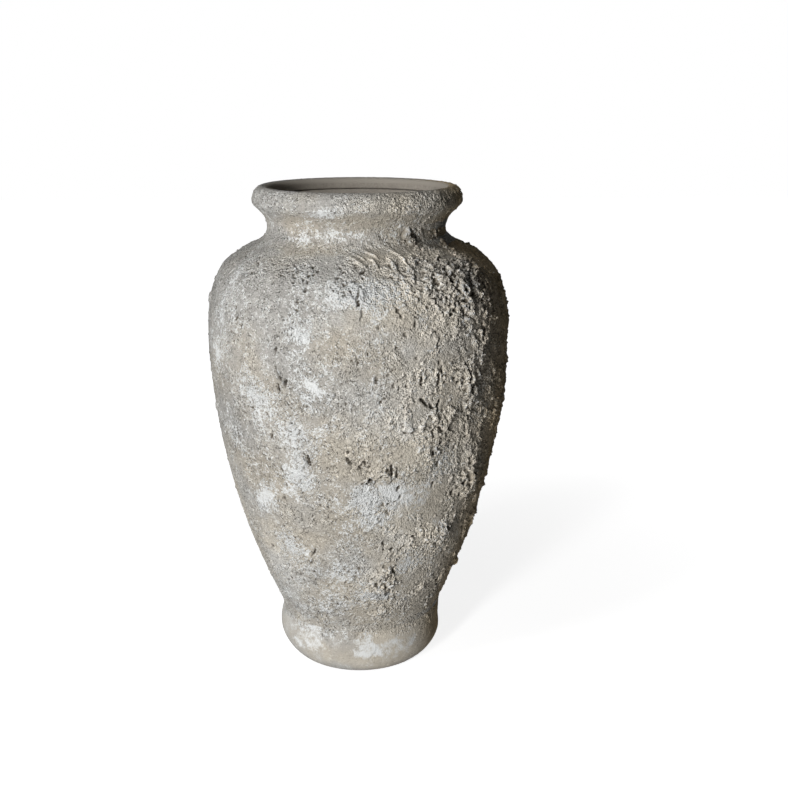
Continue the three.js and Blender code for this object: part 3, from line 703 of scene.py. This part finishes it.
class Nodes:
    """The nodes of a material or of the world, made one by one."""

    def __init__(self, owner):
        owner.use_nodes = True
        self.tree = owner.node_tree

    def make(self, kind, inputs=None, **settings):
        """A new node with its settings made, and its inputs linked or set."""
        made = self.tree.nodes.new(kind)
        for key, value in settings.items():
            setattr(made, key, value)
        for key, value in (inputs or {}).items():
            self.put(value, made.inputs[key])
        return made

    def put(self, value, socket):
        """Links an output to a socket, or sets the socket to a number or a colour."""
        if isinstance(value, bpy.types.NodeSocket):
            self.tree.links.new(value, socket)
        else:
            socket.default_value = value

    def place(self):
        return self.make("ShaderNodeTexCoord").outputs["Object"]

    def maths(self, kind, first, second):
        return self.make("ShaderNodeMath", {0: first, 1: second}, operation=kind).outputs[0]

    def add(self, first, second):
        return self.maths("ADD", first, second)

    def times(self, first, second):
        return self.maths("MULTIPLY", first, second)

    def span(self, value, low, high, to=(0.0, 1.0)):
        """A value's stretch from low to high, taken smoothly to another stretch."""
        inputs = {"Value": value, "From Min": low, "From Max": high, "To Min": to[0], "To Max": to[1]}
        return self.make("ShaderNodeMapRange", inputs, interpolation_type="SMOOTHSTEP").outputs["Result"]

    def blend(self, factor, first, second, kind="MIX"):
        """One colour over another."""
        made = self.make("ShaderNodeMix", {0: factor, 6: first, 7: second}, data_type="RGBA", blend_type=kind)
        return made.outputs[2]

    def mottle(self, place, size, detail, roughness=0.55):
        """Noise with features of a size in metres, from 0 to 1."""
        inputs = {"Vector": place, "Scale": 1 / size, "Detail": detail, "Roughness": roughness}
        return self.make("ShaderNodeTexNoise", inputs).outputs["Fac"]

    def cells(self, place, size):
        """Cells of a size in metres: the distance to the middle of each, and its own colour."""
        made = self.make("ShaderNodeTexVoronoi", {"Vector": place, "Scale": 1 / size})
        return made.outputs["Distance"], made.outputs["Color"]

    def channel(self, colour, name):
        return self.make("ShaderNodeSeparateColor", {"Color": colour}).outputs[name]

    def surface(self, inputs):
        """Sets the inputs of the material's surface."""
        for key, value in inputs.items():
            self.put(value, self.tree.nodes["Principled BSDF"].inputs[key])

    def bump(self, height, strength, distance):
        inputs = {"Height": height, "Strength": strength, "Distance": distance}
        return self.make("ShaderNodeBump", inputs).outputs["Normal"]


def crust_material():
    """Grey and tan plaster with sand and dents, a worn lime wash, painted shade in its dents, pits and
    hollows and on the side away from the lamps, and painted light and shade in patches and on its rough
    ground.
    """
    mat = bpy.data.materials.new("mineral_crust")
    nodes = Nodes(mat)
    add, times, span, blend, mottle = nodes.add, nodes.times, nodes.span, nodes.blend, nodes.mottle
    place = nodes.place()
    paint = {name: nodes.make("ShaderNodeAttribute", attribute_name=name).outputs["Fac"] for name in fields}
    rough, skin, cavity = paint["rough"], paint["skin"], paint["cavity"]

    broad = mottle(place, 0.05, 3)
    medium = mottle(place, 0.007, 4, 0.65)
    sand = span(add(mottle(place, 0.00095, 1, 0.5), mottle(place, 0.0021, 2, 0.6)), 0.78, 1.22)
    grit = span(nodes.cells(place, 0.0018)[0], 0.52, 0.24)
    chance = nodes.channel(nodes.cells(place, 0.0011)[1], "Red")
    plain = span(skin, 0.55, 0.9, to=(1.0, 0.25))
    bare_skin = span(skin, 0.6, 0.9, to=(1.0, 0.2))
    # Dents: upright ticks, scattered in loose swarms
    upright = nodes.make("ShaderNodeVectorMath", {0: place, 1: (1, 1, 0.55)}, operation="MULTIPLY").outputs[0]
    tick_away, tick_colour = nodes.cells(upright, 0.0018)
    there = span(nodes.channel(tick_colour, "Green"), 0.56, 0.50)
    swarm = span(add(mottle(place, 0.011, 2), times(rough, 0.12)), 0.34, 0.58)
    dents = times(times(span(tick_away, 0.36, 0.14), there), times(swarm, plain))
    # Plaster, grey to tan, with pale and dark specks
    warm = span(add(broad, times(paint["bare"], 0.3)), 0.30, 0.70)
    colour = blend(warm, PLASTER_GREY, PLASTER_TAN)
    shade = span(add(medium, times(sand, times(plain, 0.3))), 0.45, 0.9, to=(0.88, 1.09))
    shade = times(shade, span(skin, 0.0, 0.7, to=(1.08, 0.92)))
    # Painted light: rough ground made paler to make up for the shade that its relief and bump cast
    shade = times(shade, span(rough, 0.2, 0.8, to=(1.0, 1.25)))
    # Paler and darker patches: some the plaster's own tone, some painted light and painted shade
    shade = times(shade, span(paint["painted_light_and_tone"], -1.0, 1.5, to=(0.8, 1.37)))
    pale_speck = times(plain, span(medium, 0.4, 0.62, to=(0.24, 0.7)))
    shade = add(shade, times(span(chance, 0.78, 0.88), pale_speck))
    shade = add(shade, times(span(chance, 0.17, 0.1), times(plain, -0.5)))
    colour = blend(1.0, colour, shade, "MULTIPLY")
    # Lime wash: powder in ragged patches, thick on the grains
    powder = add(add(times(paint["wash"], 0.5), times(medium, 0.95)), times(cavity, 0.15))
    loose = add(times(sand, 0.5), times(span(chance, 0.5, 0.9), 0.2))
    loose = times(add(loose, -0.33), bare_skin)
    powder = add(powder, add(loose, 0.33))
    colour = blend(span(powder, 0.93, 1.24, to=(0.0, 0.95)), colour, LIME)
    # Painted shade in the dents, hollows and pits, then painted shade that makes the side away from the lamps
    # browner and darker, and the smooth slip inside the lip
    # Painted shade in the dents
    colour = blend(times(dents, 0.5), colour, DENT_SHADE)
    # Painted shade in the hollows of the relief, weaker on the smooth skin
    hollow_shade = times(span(cavity, -0.3, -0.9, to=(0.0, 0.9)), span(skin, 0.0, 1.0, to=(1.0, 0.3)))
    colour = blend(hollow_shade, colour, HOLLOW_SHADE)
    # Painted shade in the pits, deeper than the mesh can shade them
    colour = blend(span(paint["pit"], 0.3, 1.0, to=(0.0, 0.75)), colour, PIT_SHADE)
    # Painted shade, browner and darker, on the side turned from the lamps
    colour = blend(paint["browner_and_painted_shade"], colour, BROWNER_SHADE_TINT, "MULTIPLY")
    colour = blend(paint["smooth"], colour, SLIP_LIGHT)
    # The finest grain
    sand_rise = times(sand, span(rough, 0.0, 0.7, to=(0.31, 0.36)))
    grit_rise = times(grit, span(rough, 0.0, 0.8, to=(0.04, 0.18)))
    rise = add(add(sand_rise, grit_rise), times(dents, -0.5))
    strength = times(bare_skin, span(paint["smooth"], 0, 1, to=(1, 0.15)))
    normal = nodes.bump(rise, strength, 0.0025)
    nodes.surface({"Base Color": colour, "Roughness": 0.93, "Specular IOR Level": 0.18, "Normal": normal})
    return mat


def plain_material(name, light, dark, grain, strength):
    """Bare clay or slip: two colours in soft clouds, with specks and a fine grain."""
    mat = bpy.data.materials.new(name)
    nodes = Nodes(mat)
    place = nodes.place()
    clouds = nodes.mottle(place, 0.02, 4)
    speck = nodes.mottle(place, grain, 5, 0.65)
    mixed = nodes.blend(nodes.span(clouds, 0.3, 0.7), light, dark)
    colour = nodes.blend(1.0, mixed, nodes.span(speck, 0.25, 0.75, to=(0.84, 1.12)), "MULTIPLY")
    normal = nodes.bump(speck, strength, 0.0006)
    nodes.surface({"Base Color": colour, "Roughness": 0.86, "Specular IOR Level": 0.25, "Normal": normal})
    return mat


crust_look = crust_material()
clay_look = plain_material("bare_clay", CLAY_LIGHT, CLAY_DARK, grain=0.0012, strength=0.5)
lute_look = plain_material("dried_slip", LUTE_LIGHT, LUTE_DARK, grain=0.0016, strength=0.5)
slip_look = plain_material("smooth_slip", SLIP_LIGHT, SLIP_DARK, grain=0.0018, strength=0.25)


def dress(piece, look, slot, *nodes):
    """Gives a piece its material and its body, and hides the solids of the nodes that it stands for. The slot
    is not used.
    """
    piece.data.materials.append(look)
    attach(piece, "root")
    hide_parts(*nodes)


for index, band in enumerate(BANDS):
    dress(crust_band(index, f"{band}_crust_coat"), crust_look, "mineral_crust", f"{band}_crust")

# The smooth inside: a slip skin with faint turning rings, from the floor up to the seam under the rim
BEVEL, LUTE = 3.2, 1.6
LEDGE, SLAB = 3.6, 10.0  # height of the foot's ledge, and thickness of the floor slab on it
LEDGE_RADIUS, SLAB_RADIUS = 45.0, 52.0
AXIS = 0.6  # the smallest radius of a piece that reaches the axis
FILLET_WIDE, FILLET_SLOPE, FILLET_HIGH = 6, 0.4, 2.0  # the rounding between floor and wall
SLIP_STEP, SLIP_BACK_STEP = 1.6, 6  # between points of the face, and how many of them to one on the back
FLOOR_POINTS = 40
LAP = 0.6  # how far the rim's face runs up behind the crust
LIP_EASE = 0.04
MARKS_TOP = 6  # the highest tool marks on the foot
TURNED_COLUMNS, SLAB_COLUMNS = 300, 240
seat = LUTE / 2 + GAP
slab_bottom = LEDGE + LUTE + 2 * GAP
slab_top = slab_bottom + SLAB
floor_top = slab_top + GAP + SLIP
clay_inside = CRUST + GAP + WALL
slip_inside = clay_inside + GAP + SLIP
seam_length = ends[-2] + BEVEL - seat
start_lengths = np.linspace(0, 60, 600)
above_floor = wall(start_lengths, slip_inside)[:, 1] > floor_top + FILLET_HIGH
start = float(start_lengths[np.argmax(above_floor)])
inner_lengths = np.arange(start, seam_length, SLIP_STEP)
inner_wall = wall(np.r_[inner_lengths, seam_length], slip_inside)
fillet = [
    inner_wall[0] + np.array([-FILLET_WIDE * t * t - FILLET_SLOPE * t, -FILLET_HIGH * t])
    for t in (0.33, 0.66, 1.0)
]
floor_radii = np.linspace(fillet[-1][0], AXIS, FLOOR_POINTS)[1:]
floor_face = [(r, floor_top) for r in floor_radii[::-1]]
slip_back = wall(np.r_[inner_lengths[::SLIP_BACK_STEP], seam_length], clay_inside + GAP)[::-1]
slip_profile = np.array([*slip_back, (AXIS, slab_top + GAP), *floor_face, *fillet[::-1], *inner_wall])


def slip_bumps(points):
    """Turning rings, a little out of level, on a skin that is otherwise even."""
    sway = points[:, 2] + 0.9 * np.sin(np.arctan2(points[:, 0], points[:, 1]) * 2)
    rings = np.sin(sway * 2 * math.pi / 6.5) + 0.6 * np.sin(sway * 2 * math.pi / 4.1 + 1)
    return 0.09 * rings + 0.25 * noise(points, size=24, seed=80) + 0.05 * noise(points, size=3, seed=81)


def roll_bumps(points):
    """A face that is a little uneven below the lip."""
    return 0.06 * noise(points, size=9, seed=82) * ease(395, 394, points[:, 2])


def tool_marks(points):
    """Rings of the turning tool, on a grainy face."""
    r = np.hypot(points[:, 0], points[:, 1])
    rings = 0.06 * np.sin(r * 2 * math.pi / 2.3)
    return rings + 0.10 * noise(points, size=7, seed=84) + 0.07 * noise(points, size=2.2, seed=85)


def foot_bumps(points):
    """Tool marks that only cut in, and only underneath."""
    return np.minimum(tool_marks(points), 0) * (points[:, 2] < MARKS_TOP)


slip_skin = turned("inner_slip_skin", slip_profile[::-1], TURNED_COLUMNS, slip_bumps)
dress(slip_skin, slip_look, "smooth_slip", "inner_slip")

# The clay of the rim: the face inside the mouth, with an eased lip and seam
roll_lengths = np.linspace(ends[-2] + seat, crest_length, 24)
seam_top = wall([ends[-2] + BEVEL + seat], clay_inside)[0]
slip_end = wall([seam_length], slip_inside)[0]
roll_corners = [
    *wall(roll_lengths, CRUST + GAP),
    (LIP[0] + CRUST + GAP, LIP[1] + LAP),
    (LIP[0] + LIP_EASE, LIP[1] + LAP),
    (LIP[0], LIP[1] - LAP),
    (slip_end[0], seam_top[1] + GAP),
    seam_top,
]
roll_profile = divided(rounded(roll_corners, radius=0.7), step=1.2)
roll = turned("rim_roll_clay", roll_profile, TURNED_COLUMNS, roll_bumps)
dress(roll, slip_look, "bare_clay", "rim_roll")

# The underside: the foot ring and the floor slab, with marks of the turning tool
foot_lengths = np.linspace(CRUST_START + GAP, ends[1] - seat, 20)
foot_inner = np.linspace(start, ends[1] + BEVEL - seat, 12)[::-1]
foot_corners = [
    (LEDGE_RADIUS, 0.0),
    REST,
    *wall(foot_lengths, CRUST + GAP),
    *wall(foot_inner, clay_inside),
    (SLAB_RADIUS + GAP, slab_top),
    (SLAB_RADIUS + GAP, LEDGE),
    (LEDGE_RADIUS, LEDGE),
]
foot_profile = divided(rounded(foot_corners, radius=0.9), step=1.0)
foot = turned("foot_ring_clay", foot_profile, TURNED_COLUMNS, foot_bumps)
dress(foot, clay_look, "bare_clay", "foot_ring")
slab_corners = [(AXIS, slab_bottom), (SLAB_RADIUS, slab_bottom), (SLAB_RADIUS, slab_top), (AXIS, slab_top)]
slab_profile = divided(rounded(slab_corners, radius=0.5), step=0.9)
slab = turned("base_slab_clay", slab_profile, SLAB_COLUMNS, tool_marks)
dress(slab, clay_look, "bare_clay", "base_slab")

# The solids that stay: the walls inside the crust, and the slip in the joints
KEPT_LOOKS = {"_wall": clay_look, "_collar": clay_look, "_lute": lute_look}
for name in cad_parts:
    for ending, look in KEPT_LOOKS.items():
        if name.endswith(ending):
            solid = bpy.data.objects[name]
            solid.data.materials.clear()
            solid.data.materials.append(look)


# Stage, light and camera

BACKDROP_LIGHT = 0.012  # what the white backdrop adds to the lamps
FLOOR_GREY = (0.5, 0.5, 0.5, 1)
FLOOR_SIZE, FLOOR_DROP = 8, 0.0003
# Lamps: name, azimuth, distance, height, width and height of the panel, watts and colour
LAMPS = (
    ("key", -27, 1.5, 0.44, 0.16, 0.6, 20.6, (1, 1, 1)),
    ("top", -48, 1.1, 1.25, 0.3, 0.3, 7.2, (1, 1, 1)),
    ("low", -22, 1.3, 0.06, 0.3, 0.1, 3.8, (1, 1, 1)),
    ("side", -95, 1.4, 0.18, 0.5, 0.8, 2.6, (0.9, 0.95, 1.0)),
)
LAMP_AIM = (0, 0, 0.22)
CAMERA_PLACE = (0, -0.8676, 0.4726)
CAMERA_DOWN, CAMERA_RIGHT = 16.3645, 1.933  # degrees below level and to the right
CAMERA_SENSOR, CAMERA_LENS = 36, 47.85


def seen_strength(nodes, otherwise, seen):
    """One strength where the surface shows, also by way of a mirror or glass, and another where it only gives
    light."""
    path = nodes.make("ShaderNodeLightPath").outputs
    shows = nodes.maths("MAXIMUM", path["Is Camera Ray"], path["Is Glossy Ray"])
    shows = nodes.maths("MAXIMUM", shows, path["Is Transmission Ray"])
    inputs = {"Value": shows, "To Min": otherwise, "To Max": seen}
    return nodes.make("ShaderNodeMapRange", inputs).outputs["Result"]


world = bpy.data.worlds.new("studio")
bpy.context.scene.world = world
world_nodes = Nodes(world)
background = world.node_tree.nodes["Background"]
background.inputs["Color"].default_value = WHITE
world_nodes.put(seen_strength(world_nodes, BACKDROP_LIGHT, 1.0), background.inputs["Strength"])

bpy.ops.mesh.primitive_plane_add(size=FLOOR_SIZE, location=(0, 0, -FLOOR_DROP))
floor = bpy.context.object
floor.name = "floor"
floor_look = bpy.data.materials.new("pale_floor")
floor_nodes = Nodes(floor_look)
# Far from the vase the floor is as white as the backdrop; near it, it leaves room for the shadow
away = floor_nodes.make("ShaderNodeVectorMath", {0: floor_nodes.place()}, operation="LENGTH").outputs["Value"]
floor_nodes.surface({
    "Base Color": FLOOR_GREY,
    "Roughness": 0.9,
    "Specular IOR Level": 0.1,
    "Emission Color": floor_nodes.span(away, 0.15, 0.75, to=(0.86, 1.0)),
    "Emission Strength": seen_strength(floor_nodes, 0.0, 1.0),
})
floor.data.materials.append(floor_look)

for name, az, distance, height, panel_width, panel_height, watts, colour in LAMPS:
    data = bpy.data.lights.new(name, "AREA")
    data.shape = "RECTANGLE"
    data.size, data.size_y = panel_width, panel_height
    data.energy, data.color = watts, colour
    lamp = bpy.data.objects.new(name, data)
    bpy.context.scene.collection.objects.link(lamp)
    turn = math.radians(az)
    lamp.location = (distance * math.sin(turn), -distance * math.cos(turn), height)
    lamp.rotation_euler = (Vector(LAMP_AIM) - lamp.location).to_track_quat("-Z", "Y").to_euler()

camera = bpy.data.objects.new("camera", bpy.data.cameras.new("camera"))
bpy.context.scene.collection.objects.link(camera)
camera.location = CAMERA_PLACE
camera.rotation_euler = (math.radians(90 - CAMERA_DOWN), 0, -math.radians(CAMERA_RIGHT))
camera.data.sensor_width = CAMERA_SENSOR
camera.data.lens = CAMERA_LENS
bpy.context.scene.camera = camera
bpy.context.scene.view_settings.view_transform = "Standard"
